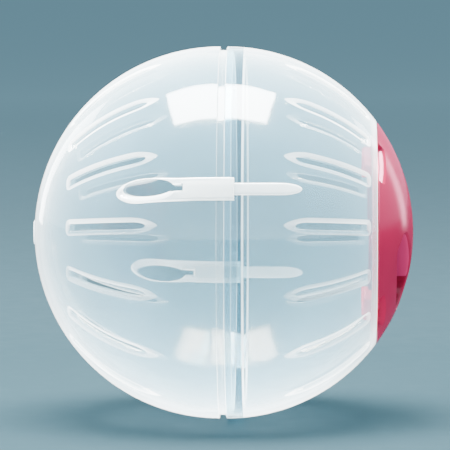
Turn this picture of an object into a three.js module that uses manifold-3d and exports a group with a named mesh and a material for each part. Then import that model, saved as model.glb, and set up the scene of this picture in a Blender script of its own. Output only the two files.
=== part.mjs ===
// A small exercise ball for mice and dwarf hamsters: two clear half shells that push together at a seam
// and are held by two tongues in sleeves, with a lid that turns and pulls off one side.
// Millimetres, +Z up. The ball's axis is X, its middle is the origin, and the lid is on the +X side.

import * as THREE from "three";
import { mergeVertices } from "three/addons/utils/BufferGeometryUtils.js";
import Module from "manifold-3d";

// Driving dimensions, in millimetres.

const BALL_RADIUS = 60; // outside of each half sphere
const WALL = 1.6; // half shells and lid
const CLEARANCE = 0.4; // between pieces that lie against each other

const SEAM_GROOVE = 2.2; // open groove between the two rims
const THIN_RIM = 0.8; // the right half's wall where it covers the lip
const RIM_REBATE = 5.4; // how far the thin rim runs from the right half's edge
const LIP_THICKNESS = 0.95;
const LIP_GAP = 0.35; // between the lip and the thin rim over it
const LIP_END = 3.3; // the left half's lip, measured from the ball's middle
const LIP_ROOT = 4.6; // where the lip joins the left wall, measured from that half's edge
const LIP_SLOPE = 1; // length of the slope between the lip and the wall

const BOSS_RADIUS = 3.9; // flat disc on the left pole
const BOSS_HEIGHT = 0.3;

const SLOT_COUNT = 16; // air slots round each half
const SLOT_START = 6.75; // degrees
const SLOT_WIDTH = 2.3;
const SLOT_OUTER = 55.4; // furthest from the axis, at the seam end
const SLOT_TAPER = 2.2;
const LEFT_SLOT_INNER = 37.2; // nearest the axis, at the pole end
const RIGHT_SLOT_INNER = 39.7;

const LATCH_ANGLES = { front: 17.4, rear: 197.4 }; // degrees
const HOOD_HEIGHT = 2.1; // above the sphere
const HOOD_MOUTH = 4.3; // where the sleeve ends, past the ball's middle
const HOOD_SHOULDER = -12; // where the straight sleeve becomes the rounded hood
const HOOD_NOSE = -31.5;
const HOOD_HALF_WIDTH = 3.4;
const HOOD_SWELL = 1.1; // how far the curve's handles stand out beyond the sleeve's side
const FINGER_WINDOW = { middle: -22.2, halfLength: 8, halfWidth: 2.6 };
const RELEASE_SLIT = { length: 4, halfWidth: 1 };
const POCKET_HALF_WIDTH = 2.3;
const POCKET_CEILING = 61.45; // from the axis
const POCKET_FLOOR = 59.2;

const TONGUE_HALF_WIDTH = 1.9;
const TONGUE_THICKNESS = 0.8;
const TONGUE_TIP = -11;
const TONGUE_ROOT = 25.1;
const TONGUE_ROOT_TAPER = 6;

const MOUTH_PLANE = 48; // the entry's rim, measured from the right half's centre
const MOUTH_FLANGE_RADIUS = 32.2; // clear opening inside the flange
const MOUTH_FLANGE_THICKNESS = 1.4;
const NOTCH_HALF_WIDTH = 6.2;
const NOTCH_RADIUS = 35.1;

const LID_SEAT = 48.3; // the lid's rim, measured from the right half's centre
const SKIRT_RADIUS = 31.8;
const SKIRT_THICKNESS = 1.6;
const SKIRT_TOP = 48.4;
const LUG_ANGLES = [49, 139, 229, 319]; // degrees, just past the middle of each rim window
const LUG_HALF_WIDTH = 4.85;
const LUG_RADIUS = 34.6;
const LUG_END = 43.6;
const LUG_TOP = 46.3;
const RIM_WINDOW_ANGLES = [45, 135, 225, 315]; // degrees
const RIM_WINDOW_HALF_WIDTH = 7.3;
const RIM_WINDOW_INNER = 32.2;

const WELL_ANGLES = [135, 315]; // degrees
const WELL_CHORD = 11; // from the axis to the well's straight side
const WELL_OUTER = 24.5;
const WELL_HALF_WIDTH = 14;
const WELL_CORNER = 3.5;
const WELL_FLOOR = 47; // measured from the right half's centre

// Fineness of the faceted surfaces.

const TURN_SEGMENTS = 48;
const ARC_STEP = 7.5; // degrees
const CURVE_SEGMENTS = 6;

const LEFT_CENTRE = -SEAM_GROOVE / 2;
const RIGHT_CENTRE = SEAM_GROOVE / 2;
const INNER_RADIUS = BALL_RADIUS - WALL;

const wasm = await Module();
wasm.setup();

// Geometry helpers.

// A closed three.js geometry as a manifold solid with its faces pointing out.
function solidOf(geometry) {
  const bare = new THREE.BufferGeometry();
  bare.setAttribute("position", geometry.getAttribute("position").clone());
  bare.setIndex(geometry.getIndex());
  const merged = mergeVertices(bare, 1e-5);
  const vertProperties = new Float32Array(merged.getAttribute("position").array);
  const corners = [];
  const index = merged.getIndex().array;
  for (let i = 0; i < index.length; i += 3) {
    const [a, b, c] = [index[i], index[i + 1], index[i + 2]];
    if (a !== b && b !== c && c !== a) corners.push(a, b, c);
  }
  if (signedVolume(vertProperties, corners) < 0) corners.reverse();
  const mesh = new wasm.Mesh({ numProp: 3, vertProperties, triVerts: new Uint32Array(corners) });
  return new wasm.Manifold(mesh);
}

function signedVolume(positions, corners) {
  const [a, b, c] = [new THREE.Vector3(), new THREE.Vector3(), new THREE.Vector3()];
  let volume = 0;
  for (let i = 0; i < corners.length; i += 3) {
    a.fromArray(positions, 3 * corners[i]);
    b.fromArray(positions, 3 * corners[i + 1]);
    c.fromArray(positions, 3 * corners[i + 2]);
    volume += a.dot(b.cross(c)) / 6;
  }
  return volume;
}

function geometryOf(solid) {
  const mesh = solid.getMesh();
  const geometry = new THREE.BufferGeometry();
  geometry.setAttribute("position", new THREE.BufferAttribute(new Float32Array(mesh.vertProperties), 3));
  geometry.setIndex(new THREE.BufferAttribute(new Uint32Array(mesh.triVerts), 1));
  geometry.computeVertexNormals();
  return geometry;
}

// Where a sphere about a point of the axis is this far from the axis, or this far along it.
const across = (radius, along) => Math.sqrt(radius * radius - along * along);

// Profile points (distance from the axis, place along it) on a sphere, between two places along its axis.
function arc(centre, radius, from, to) {
  const start = Math.asin(from / radius);
  const end = Math.asin(to / radius);
  const steps = Math.max(2, Math.round(Math.abs(end - start) / THREE.MathUtils.degToRad(ARC_STEP)));
  const points = [];
  for (let i = 0; i <= steps; i++) {
    const latitude = start + ((end - start) * i) / steps;
    const offAxis = Math.abs(Math.cos(latitude)) < 1e-9 ? 0 : radius * Math.cos(latitude);
    points.push(new THREE.Vector2(offAxis, centre + radius * Math.sin(latitude)));
  }
  return points;
}

// A solid of revolution about X. A profile that doesn't start and end on the axis is closed on itself.
function turned(profile) {
  const onAxis = profile[0].x === 0 && profile.at(-1).x === 0;
  const outline = onAxis ? profile : [...profile, profile[0].clone()];
  const geometry = new THREE.LatheGeometry(outline, TURN_SEGMENTS);
  geometry.rotateZ(-Math.PI / 2);
  return solidOf(geometry);
}

function ball(centre, radius) {
  return turned(arc(centre, radius, -radius, radius));
}

function hollowBall(centre, outerRadius, innerRadius) {
  return ball(centre, outerRadius).subtract(ball(centre, innerRadius));
}

const point = (offAxis, along) => new THREE.Vector2(offAxis, along);

// Directions at an angle about X: 0 is -Y, 90 is +Z.
function outward(angle) {
  const turn = THREE.MathUtils.degToRad(angle);
  return new THREE.Vector3(0, -Math.cos(turn), Math.sin(turn));
}

function sideways(angle) {
  const turn = THREE.MathUtils.degToRad(angle);
  return new THREE.Vector3(0, Math.sin(turn), Math.cos(turn));
}

const ALONG = new THREE.Vector3(1, 0, 0);

function extruded(shape, depth, start, xAxis, yAxis, zAxis) {
  const settings = { depth, bevelEnabled: false, curveSegments: CURVE_SEGMENTS };
  const geometry = new THREE.ExtrudeGeometry(shape, settings);
  geometry.translate(0, 0, start);
  geometry.applyMatrix4(new THREE.Matrix4().makeBasis(xAxis, yAxis, zAxis));
  return solidOf(geometry);
}

// A prism along X whose outline is drawn as (distance from the axis, sideways) at an angle about X.
function axialPrism(shape, angle, from, to) {
  return extruded(shape, to - from, from, outward(angle), sideways(angle).negate(), ALONG);
}

// A prism standing out from the axis whose outline is drawn as (along X, sideways).
function radialPrism(shape, angle, from, to) {
  return extruded(shape, to - from, from, ALONG, sideways(angle), outward(angle));
}

function rectangle(left, right, halfHeight) {
  const shape = new THREE.Shape();
  shape.moveTo(left, -halfHeight);
  shape.lineTo(right, -halfHeight);
  shape.lineTo(right, halfHeight);
  shape.lineTo(left, halfHeight);
  shape.closePath();
  return shape;
}

const joined = (solids) => solids.reduce((all, one) => all.add(one));
const cut = (solid, cutters) => cutters.reduce((left, cutter) => left.subtract(cutter), solid);

// Air slots: straight blades along X, with a tapered end towards the seam.
function slotOutline(inner) {
  const half = SLOT_WIDTH / 2;
  const shape = new THREE.Shape();
  shape.moveTo(inner, half);
  shape.lineTo(inner, -half);
  shape.lineTo(SLOT_OUTER - SLOT_TAPER, -half);
  shape.absellipse(SLOT_OUTER - SLOT_TAPER, 0, SLOT_TAPER, half, -Math.PI / 2, Math.PI / 2);
  shape.closePath();
  return shape;
}

function slotBlades(inner, from, to) {
  const outline = slotOutline(inner);
  const blades = [];
  for (let i = 0; i < SLOT_COUNT; i++) {
    blades.push(axialPrism(outline, SLOT_START + (i * 360) / SLOT_COUNT, from, to));
  }
  return blades;
}

// The latch's outlines, drawn as (along X, sideways).
function hoodOutline() {
  const handle = HOOD_HALF_WIDTH + HOOD_SWELL;
  const middle = (HOOD_SHOULDER + HOOD_NOSE) / 2 + HOOD_SWELL * 3;
  const shape = new THREE.Shape();
  shape.moveTo(HOOD_MOUTH, HOOD_HALF_WIDTH);
  shape.lineTo(HOOD_SHOULDER, HOOD_HALF_WIDTH);
  shape.bezierCurveTo(middle, handle - HOOD_SWELL / 2, HOOD_NOSE, handle, HOOD_NOSE, 0);
  shape.bezierCurveTo(HOOD_NOSE, -handle, middle, HOOD_SWELL / 2 - handle, HOOD_SHOULDER, -HOOD_HALF_WIDTH);
  shape.lineTo(HOOD_MOUTH, -HOOD_HALF_WIDTH);
  shape.closePath();
  return shape;
}

function fingerWindowOutline() {
  const { middle, halfLength, halfWidth } = FINGER_WINDOW;
  const shape = new THREE.Shape();
  shape.absellipse(middle, 0, halfLength, halfWidth, 0, 2 * Math.PI);
  return shape;
}

function tongueRootOutline() {
  const half = TONGUE_HALF_WIDTH;
  const straightEnd = TONGUE_ROOT - TONGUE_ROOT_TAPER;
  const shape = new THREE.Shape();
  shape.moveTo(RIGHT_CENTRE, half);
  shape.lineTo(RIGHT_CENTRE, -half);
  shape.lineTo(straightEnd, -half);
  shape.quadraticCurveTo(TONGUE_ROOT, -half, TONGUE_ROOT, 0);
  shape.quadraticCurveTo(TONGUE_ROOT, half, straightEnd, half);
  shape.closePath();
  return shape;
}

const OVERRUN = 1; // how far a cut or a joined piece runs past the face it meets
const BEYOND = BALL_RADIUS + 10; // outside everything
const WITHIN = BALL_RADIUS - 25; // inside every part of the wall near a latch

// A prism right through the wall and everything on it.
const throughWall = (outline, angle) => radialPrism(outline, angle, WITHIN, BEYOND);

const fingerWindow = (angle) => throughWall(fingerWindowOutline(), angle);

function releaseSlit(angle) {
  const end = HOOD_SHOULDER - RELEASE_SLIT.length;
  return throughWall(rectangle(end, HOOD_SHOULDER, RELEASE_SLIT.halfWidth), angle);
}

function pocket(angle) {
  const outline = rectangle(POCKET_FLOOR, POCKET_CEILING, POCKET_HALF_WIDTH);
  return axialPrism(outline, angle, HOOD_SHOULDER, HOOD_MOUTH + OVERRUN);
}

// The sub-parts.

function leftHalfShell() {
  const lipOutside = BALL_RADIUS - THIN_RIM - LIP_GAP;
  const lipInside = lipOutside - LIP_THICKNESS;
  const bossRise = across(BALL_RADIUS, BOSS_RADIUS);
  const shell = turned([
    point(0, LEFT_CENTRE - BALL_RADIUS - BOSS_HEIGHT),
    point(BOSS_RADIUS, LEFT_CENTRE - BALL_RADIUS - BOSS_HEIGHT),
    ...arc(LEFT_CENTRE, BALL_RADIUS, -bossRise, 0),
    point(lipOutside, LEFT_CENTRE),
    point(lipOutside, LIP_END),
    point(lipInside, LIP_END),
    point(lipInside, LEFT_CENTRE - LIP_ROOT + LIP_SLOPE),
    ...arc(LEFT_CENTRE, INNER_RADIUS, -LIP_ROOT, -INNER_RADIUS),
  ]);
  const blades = slotBlades(LEFT_SLOT_INNER, LEFT_CENTRE - BALL_RADIUS, LEFT_CENTRE - WALL);
  const latchCuts = Object.values(LATCH_ANGLES).flatMap((angle) => {
    return [fingerWindow(angle), releaseSlit(angle), pocket(angle)];
  });
  return cut(shell, [...blades, ...latchCuts]);
}

function latchHood(angle) {
  const raised = hollowBall(LEFT_CENTRE, BALL_RADIUS + HOOD_HEIGHT, BALL_RADIUS + CLEARANCE);
  const body = raised.intersect(throughWall(hoodOutline(), angle));
  return cut(body, [fingerWindow(angle), releaseSlit(angle), pocket(angle)]);
}

function rightHalfShell() {
  const rebateRadius = BALL_RADIUS - THIN_RIM;
  const flangeBack = MOUTH_PLANE - MOUTH_FLANGE_THICKNESS;
  const shell = turned([
    point(rebateRadius, RIGHT_CENTRE),
    ...arc(RIGHT_CENTRE, BALL_RADIUS, 0, MOUTH_PLANE),
    point(MOUTH_FLANGE_RADIUS, RIGHT_CENTRE + MOUTH_PLANE),
    point(MOUTH_FLANGE_RADIUS, RIGHT_CENTRE + flangeBack),
    ...arc(RIGHT_CENTRE, INNER_RADIUS, flangeBack, RIM_REBATE),
    point(rebateRadius, RIGHT_CENTRE + RIM_REBATE),
  ]);
  const blades = slotBlades(RIGHT_SLOT_INNER, RIGHT_CENTRE + WALL, RIGHT_CENTRE + BALL_RADIUS);
  const notchOutline = rectangle(MOUTH_FLANGE_RADIUS - OVERRUN, NOTCH_RADIUS, NOTCH_HALF_WIDTH);
  const notchBack = RIGHT_CENTRE + flangeBack - OVERRUN / 10;
  const notchFront = RIGHT_CENTRE + MOUTH_PLANE + OVERRUN;
  const notches = LUG_ANGLES.map((angle) => axialPrism(notchOutline, angle, notchBack, notchFront));
  return cut(shell, [...blades, ...notches]);
}

function latchTongue(angle) {
  const bottom = BALL_RADIUS + CLEARANCE;
  const top = bottom + TONGUE_THICKNESS;
  const raised = hollowBall(RIGHT_CENTRE, top, bottom);
  const root = raised.intersect(throughWall(tongueRootOutline(), angle));
  const outline = rectangle(bottom, top, TONGUE_HALF_WIDTH);
  const straight = axialPrism(outline, angle, TONGUE_TIP, RIGHT_CENTRE + OVERRUN);
  return root.add(straight);
}

// The well's outline, drawn as (distance from the axis, sideways), grown by a margin on every side.
function wellOutline(margin) {
  const chord = WELL_CHORD - margin;
  const outer = WELL_OUTER + margin;
  const half = WELL_HALF_WIDTH + margin;
  const corner = WELL_CORNER + margin;
  const side = across(outer, half);
  const sweep = Math.asin((half - corner / 2) / outer);
  const shape = new THREE.Shape();
  shape.moveTo(chord + corner, -half);
  shape.lineTo(side - corner / 2, -half);
  shape.quadraticCurveTo(side, -half, outer * Math.cos(sweep), -outer * Math.sin(sweep));
  shape.absarc(0, 0, outer, -sweep, sweep);
  shape.quadraticCurveTo(side, half, side - corner / 2, half);
  shape.lineTo(chord + corner, half);
  shape.quadraticCurveTo(chord, half, chord, half - corner);
  shape.lineTo(chord, corner - half);
  shape.quadraticCurveTo(chord, -half, chord + corner, -half);
  return shape;
}

function lidCap() {
  const cap = turned([
    ...arc(RIGHT_CENTRE, BALL_RADIUS, LID_SEAT, BALL_RADIUS),
    ...arc(RIGHT_CENTRE, INNER_RADIUS, INNER_RADIUS, LID_SEAT),
    point(across(BALL_RADIUS, LID_SEAT), RIGHT_CENTRE + LID_SEAT),
  ]);
  const inside = ball(RIGHT_CENTRE, BALL_RADIUS - WALL / 2);
  const floor = RIGHT_CENTRE + WELL_FLOOR;
  const beyond = RIGHT_CENTRE + BALL_RADIUS + OVERRUN;
  const cups = WELL_ANGLES.map((angle) => {
    return axialPrism(wellOutline(WALL), angle, floor - WALL, beyond).intersect(inside);
  });
  const wells = WELL_ANGLES.map((angle) => axialPrism(wellOutline(0), angle, floor, beyond));
  const windowOutline = rectangle(RIM_WINDOW_INNER, BALL_RADIUS, RIM_WINDOW_HALF_WIDTH);
  const windows = RIM_WINDOW_ANGLES.map((angle) => axialPrism(windowOutline, angle, RIGHT_CENTRE, beyond));
  return cut(joined([cap, ...cups]), [...wells, ...windows]);
}

const SKIRT_INNER = SKIRT_RADIUS - SKIRT_THICKNESS;

function lidSkirtRing() {
  const end = RIGHT_CENTRE + LUG_TOP + CLEARANCE;
  const top = RIGHT_CENTRE + SKIRT_TOP;
  return turned([
    point(SKIRT_INNER, end),
    point(SKIRT_RADIUS, end),
    point(SKIRT_RADIUS, top),
    point(SKIRT_INNER, top),
  ]);
}

function lidLug(angle) {
  const outline = rectangle(SKIRT_INNER, LUG_RADIUS, LUG_HALF_WIDTH);
  return axialPrism(outline, angle, RIGHT_CENTRE + LUG_END, RIGHT_CENTRE + LUG_TOP);
}

// Materials.

function clearPlastic() {
  return new THREE.MeshStandardMaterial({
    color: 0xdfe9ee,
    roughness: 0.18,
    metalness: 0,
    transparent: true,
    opacity: 0.5,
  });
}

function pinkPlastic() {
  return new THREE.MeshStandardMaterial({ color: 0xd8446e, roughness: 0.22, metalness: 0 });
}

// The assembly.

const group = new THREE.Group();

function place(name, solid, material) {
  const mesh = new THREE.Mesh(geometryOf(solid), material);
  mesh.name = name;
  group.add(mesh);
}

place("left_half_shell", leftHalfShell(), clearPlastic());
place("right_half_shell", rightHalfShell(), clearPlastic());
for (const [side, angle] of Object.entries(LATCH_ANGLES)) {
  place(`${side}_latch_hood`, latchHood(angle), clearPlastic());
  place(`${side}_latch_tongue`, latchTongue(angle), clearPlastic());
}
place("lid_cap", lidCap(), pinkPlastic());
place("lid_skirt_ring", lidSkirtRing(), pinkPlastic());
LUG_ANGLES.forEach((angle, i) => place(`lid_lug_${i + 1}`, lidLug(angle), pinkPlastic()));

export default group;
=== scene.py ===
"""A small rodent exercise ball.

It has two milky half shells, a tongue-and-sleeve latch on each side and a pink lid.
"""

import math

import bmesh
import bpy
import numpy as np
from mathutils import Matrix, Vector


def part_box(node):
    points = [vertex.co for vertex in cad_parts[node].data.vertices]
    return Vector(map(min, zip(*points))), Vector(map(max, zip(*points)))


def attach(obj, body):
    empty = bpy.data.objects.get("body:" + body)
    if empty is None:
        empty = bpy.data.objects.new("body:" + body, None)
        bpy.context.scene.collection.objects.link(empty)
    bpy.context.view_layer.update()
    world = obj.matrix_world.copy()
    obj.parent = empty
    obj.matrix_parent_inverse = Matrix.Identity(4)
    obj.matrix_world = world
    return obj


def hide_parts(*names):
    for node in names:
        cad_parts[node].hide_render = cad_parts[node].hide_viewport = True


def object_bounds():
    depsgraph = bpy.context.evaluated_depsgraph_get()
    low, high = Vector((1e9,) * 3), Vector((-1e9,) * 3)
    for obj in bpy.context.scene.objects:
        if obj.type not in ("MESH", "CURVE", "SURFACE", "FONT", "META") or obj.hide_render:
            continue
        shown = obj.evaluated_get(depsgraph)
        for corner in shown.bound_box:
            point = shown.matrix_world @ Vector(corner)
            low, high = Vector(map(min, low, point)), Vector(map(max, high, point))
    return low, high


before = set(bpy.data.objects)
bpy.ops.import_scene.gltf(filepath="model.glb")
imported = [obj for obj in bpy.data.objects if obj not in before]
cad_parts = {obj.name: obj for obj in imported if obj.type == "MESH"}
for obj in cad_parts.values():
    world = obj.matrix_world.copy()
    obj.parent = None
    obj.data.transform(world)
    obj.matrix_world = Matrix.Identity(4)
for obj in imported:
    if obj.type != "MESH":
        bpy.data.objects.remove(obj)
cad_low, cad_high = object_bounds()

MM = 0.001


def span(node):
    """The lowest and highest corner of a CAD node, in millimetres."""
    low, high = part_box(node)
    return Vector(low) / MM, Vector(high) / MM


# Sizes in millimetres. The large ones come from the frame. The rest are details that the frame leaves plain.

left_low, left_high = span("left_half_shell")
right_low, right_high = span("right_half_shell")
cap_low = span("lid_cap")[0]
skirt_high = span("lid_skirt_ring")[1]

BALL_RADIUS = right_high.z
RIGHT_CENTRE = right_low.x
LEFT_CENTRE = -RIGHT_CENTRE
WALL = 1.6
INNER_RADIUS = BALL_RADIUS - WALL
THIN_RIM = 0.8
RIM_REBATE = 5.4
REBATE_SLOPE = 0.7
LIP_END = left_high.x
LIP_THICKNESS = 0.95
LIP_ROOT = 4.6
LIP_GAP = 0.35
SEAM_DEPTH = 3  # nothing of the rims and the lip is further in than this from the ball's surface
EDGE = 0.18  # the small break on a moulded edge

BOSS_RADIUS = 3.9
BOSS_EDGE = 0.22
BOSS_FACE = left_low.x

SLOT_COUNT = 16
SLOT_START = 6.75  # degrees about X, from -Y towards +Z
SLOT_HALF_WIDTH = 1.15
SLOT_OUTER = 55.4  # its seam end, from the axis
LEFT_SLOT_INNER = 37.2
RIGHT_SLOT_INNER = 39.7
SLOT_TAPER = 4.6
SLOT_CORNER = 0.5
BLADE_TAPER = 2.2
SLOT_FLARE = 1.45
SLOT_POINT = 3.6  # how far the flare is drawn out past its seam end
SLOT_FLARE_DEPTH = 0.6
SLOT_FLARE_TURN = 62.0  # degrees that the flare's wall turns through
SLOT_OVERSHOOT = 0.3  # how far the flare's cutter goes on past the surface

LATCHES = {"front": 17.4, "rear": 197.4}  # degrees about X
HOOD_HEIGHT = 2.1
HOOD_MOUTH = 4.3
HOOD_SHOULDER = -12.0
HOOD_NOSE = -31.5
HOOD_HALF_WIDTH = 3.4
HOOD_SWELL = 0.2
HOOD_RISE = 0.35  # how far the nose end bends up off the latch's line
HOOD_NOSE_SHARE = 0.42  # of the hood's length, where it reaches its full width
WINDOW_MIDDLE = -22.3
WINDOW_HALF_LENGTH = 8.0
WINDOW_HALF_WIDTH = 2.75
WINDOW_RISE = 0.75
WINDOW_LEAN = 0.3  # how far the walls run up for each millimetre in
SLIT_RISE = 0.55
SLIT_START = -15.6
SLIT_END = -11.1
SLIT_HALF_WIDTH = 1.2
POCKET_HALF_WIDTH = 2.3
POCKET_FLOOR = 59.2
POCKET_CEILING = 61.45
TONGUE_HALF_WIDTH = 1.9
TONGUE_BOTTOM = 60.4
TONGUE_TOP = 61.2
TONGUE_TIP = -11.0
TONGUE_ROOT = 25.1
TONGUE_ROOT_TAPER = 7.0
TONGUE_RISE = 1.1

MOUTH_PLANE = right_high.x - RIGHT_CENTRE
MOUTH_RADIUS = 32.2
FLANGE_THICKNESS = 1.4
NOTCH_HALF_WIDTH = 6.2
NOTCH_RADIUS = 35.1

LID_SEAT = MOUTH_PLANE + 0.3
WELL_FLOOR = cap_low.x + WALL
WELL_ANGLES = (135.0, 315.0)
WELL_CHORD = 11.0
WELL_OUTER = 24.5
WELL_HALF_WIDTH = 14.0
WELL_CORNER = 3.5
# Painted shade: past this place sideways the well's straight wall takes the darker colour.
WELL_PAINTED_SHADE_START = -9.0  # past this place sideways the straight wall is in shade
RIM_WINDOW_ANGLES = (45.0, 135.0, 225.0, 315.0)
RIM_WINDOW_HALF_WIDTH = 7.3
RIM_WINDOW_INNER = 32.2
RIM_WINDOW_CORNER = 0.8
SKIRT_RADIUS = skirt_high.z
SKIRT_INNER = SKIRT_RADIUS - 1.6
LUG_ANGLES = (49.0, 139.0, 229.0, 319.0)
LUG_HALF_WIDTH = 4.85
LUG_OUTER = 34.6
LUG_CORNER = 0.8
LUG_END = RIGHT_CENTRE + 43.6
LUG_TOP = RIGHT_CENTRE + 46.3

TURN_SEGMENTS = 192
ARC_STEP = math.radians(2.0)
SHARP_ANGLE = 32.0
ON_SPHERE = 0.03  # how far off a sphere a corner may be and still count as on it
FACING = 0.7  # the cosine from which a well's wall counts as facing a way

# Material slots of a clear piece. The lid has the first, and two for the walls of its wells, which carry
# painted light and painted shade.
OUTER_SLOT, CUT_SLOT, INNER_SLOT, SEAM_SLOT, LAP_SLOT, STEP_SLOT = range(6)
WELL_PAINTED_LIGHT_SLOT, WELL_PAINTED_SHADE_SLOT = 1, 2

# Each pair is two colours that a surface drifts between.
HAZE_COLOURS = (0.036, 0.205, 0.29), (0.05, 0.23, 0.32)
FROST_COLOURS = (0.95, 0.96, 0.94), (0.97, 0.96, 0.93)
SLANT_POWER = 2.5  # how fast the frost thickens as the look through a wall slants
STRAIGHT_SHINE = 0.045  # the share of light that the clear plastic reflects straight back
EDGE_SHINE = 0.85  # how much of it is added at a glance along the surface
HIDDEN_GLOSS = 0.35  # how much of the gloss a face seen from within the plastic keeps
WARM = (1.0, 0.92, 0.76)  # the tint of the light that the inner wall reflects
# Painted shade: this tint darkens what shows through the thin rim, for the dark stripe along it.
RIM_PAINTED_SHADE_TINT = (0.79, 0.91, 0.95)
RIPPLE_DEPTH = 0.4
COLLAR_FROST = 4.0  # how much more frost the collar round the mouth has
COLLAR_START = RIGHT_CENTRE + 45.8
COLLAR_END = RIGHT_CENTRE + 47
# Painted light on the slots' borders: the upper border frostier, so whiter, than the lower one.
PAINTED_LIGHT_SIDE_FROST = (1.2, 0.05)  # the share of the frost on a slot's upper border, and on its lower one
SIDE_TURN = 0.3  # how far a border's face has to turn up or down to have all of it
LOW_FROST = 0.3  # the share on both borders in the ball's lower half
LOW_FADE = (-0.2, 0.05)  # the heights, over the distance from the axis, between which it fades in
LID_COLOURS = (0.172, 0.0035, 0.025), (0.212, 0.005, 0.032)
# A much lighter pink for the thin skirt and lugs: partly thinner plastic and partly painted light, as they
# show brightly lit through the rim windows.
LUG_COLOURS_WITH_PAINTED_LIGHT = (0.75, 0.02, 0.08), (0.8, 0.03, 0.10)
# Painted light and painted shade: a lighter pink for a well's straight wall and a darker one for its side
# walls, though all are the lid's plastic.
WELL_PAINTED_LIGHT_COLOURS = (0.33, 0.017, 0.08), (0.37, 0.022, 0.095)
WELL_PAINTED_SHADE_COLOURS = (0.13, 0.0005, 0.011), (0.155, 0.001, 0.014)
PINK_GLOSS = (1.0, 0.40, 0.56)
# Painted shade on the floor: its colour near the middle, darker, and its colour far out.
FLOOR_PAINTED_SHADE_COLOURS = (0.015, 0.029, 0.035), (0.058, 0.095, 0.112)

FLOOR_RADIUS = 12000

CAMERA_AZIMUTH = 1.2
CAMERA_ELEVATION = 4.5
CAMERA_DISTANCE = 1320
CAMERA_LENS = 326.9
CAMERA_TARGET = (0.35, 0, 2.4)


# Directions.

ALONG = Vector((1, 0, 0))


def outward(angle):
    turn = math.radians(angle)
    return Vector((0, -math.cos(turn), math.sin(turn)))


def sideways(angle):
    turn = math.radians(angle)
    return Vector((0, math.sin(turn), math.cos(turn)))


# Meshes are made in millimetres and turned to metres when a piece is finished.


def mesh_object(name, points, faces):
    mesh = bpy.data.meshes.new(name)
    mesh.from_pydata([tuple(p) for p in points], [], faces)
    obj = bpy.data.objects.new(name, mesh)
    bpy.context.scene.collection.objects.link(obj)
    return obj


def clean(obj):
    """Merges points that coincide and turns the faces outward."""
    bm = bmesh.new()
    bm.from_mesh(obj.data)
    bmesh.ops.remove_doubles(bm, verts=bm.verts, dist=1e-4)
    bmesh.ops.dissolve_degenerate(bm, edges=bm.edges, dist=1e-5)
    bmesh.ops.recalc_face_normals(bm, faces=bm.faces)
    bm.to_mesh(obj.data)
    bm.free()
    return obj


def arc(centre, radius, start, end):
    """Profile points on a sphere between two places along its axis.

    Each is (distance from the axis, place along it).
    """
    a = math.asin(max(-1, min(1, start / radius)))
    b = math.asin(max(-1, min(1, end / radius)))
    steps = max(2, round(abs(b - a) / ARC_STEP))
    turns = [a + (b - a) * i / steps for i in range(steps + 1)]
    return [(max(0.0, radius * math.cos(t)), centre + radius * math.sin(t)) for t in turns]


def turned(name, profile):
    """A closed solid of revolution about X."""
    count = len(profile)
    turns = [2 * math.pi * i / TURN_SEGMENTS for i in range(TURN_SEGMENTS)]
    points = [(x, r * math.cos(t), r * math.sin(t)) for t in turns for r, x in profile]
    faces = []
    closed = profile[0][0] > 1e-6
    for i in range(TURN_SEGMENTS):
        here = i * count
        there = ((i + 1) % TURN_SEGMENTS) * count
        for j in range(count if closed else count - 1):
            k = (j + 1) % count
            faces.append((here + j, here + k, there + k, there + j))
    return clean(mesh_object(name, points, faces))


def grown(outline, margin):
    """One side of a symmetric outline of (along, half width) points, moved outward by a margin."""
    mirrored = [(a, -b) for a, b in reversed(outline) if b > 1e-9]
    ring = [Vector(p) for p in [*outline, *mirrored]]
    count = len(ring)
    moved = []
    for i in range(len(outline)):
        before = (ring[i] - ring[i - 1]).normalized()
        after = (ring[(i + 1) % count] - ring[i]).normalized()
        normal = Vector((-before.y - after.y, before.x + after.x)).normalized()
        reach = margin / max(0.6, normal.dot(Vector((-before.y, before.x))))
        point = ring[i] + normal * reach
        moved.append((point.x, max(0.0, point.y) if outline[i][1] > 1e-9 else 0.0))
    return moved


def sections(outline, levels):
    """The outline at each (level, margin), grown by the margin."""
    return [(level, grown(outline, margin)) for level, margin in levels]


def lofted(name, stack, place, across=8):
    """A closed solid through a stack of (level, outline) sections.

    place(along, sideways, level) gives each point.
    """
    rows = len(stack[0][1])
    grids = []
    points = []
    for level, outline in stack:
        grid = []
        for along, half in outline:
            row = []
            for j in range(across + 1):
                row.append(len(points))
                points.append(place(along, half * (2 * j / across - 1), level))
            grid.append(row)
        grids.append(grid)
    faces = []
    for grid, flip in ((grids[0], True), (grids[-1], False)):
        for i in range(rows - 1):
            for j in range(across):
                face = (grid[i][j], grid[i + 1][j], grid[i + 1][j + 1], grid[i][j + 1])
                faces.append(face[::-1] if flip else face)
    for low, high in zip(grids, grids[1:]):
        rims = []
        for grid in (low, high):
            rim = [grid[i][0] for i in range(rows)]
            rim += grid[-1][1:]
            rim += [grid[i][-1] for i in range(rows - 2, -1, -1)]
            rim += grid[0][-2:0:-1]
            rims.append(rim)
        count = len(rims[0])
        for i in range(count):
            k = (i + 1) % count
            faces.append((rims[0][i], rims[0][k], rims[1][k], rims[1][i]))
    return clean(mesh_object(name, points, faces))


def on_surface(angle):
    """Places (distance along the surface from the ball's middle, sideways, radius) at an angle about X.

    Past each half's rim the radius is measured from that half's centre, and between the rims from the axis.
    """
    up = outward(angle)
    across = sideways(angle)

    def place(along, aside, radius):
        centre = max(LEFT_CENTRE, min(RIGHT_CENTRE, along))
        turn = (along - centre) / BALL_RADIUS
        lean = aside / BALL_RADIUS
        reach = ALONG * math.sin(turn) + up * math.cos(turn)
        return ALONG * centre + (reach * math.cos(lean) + across * math.sin(lean)) * radius

    return place


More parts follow.
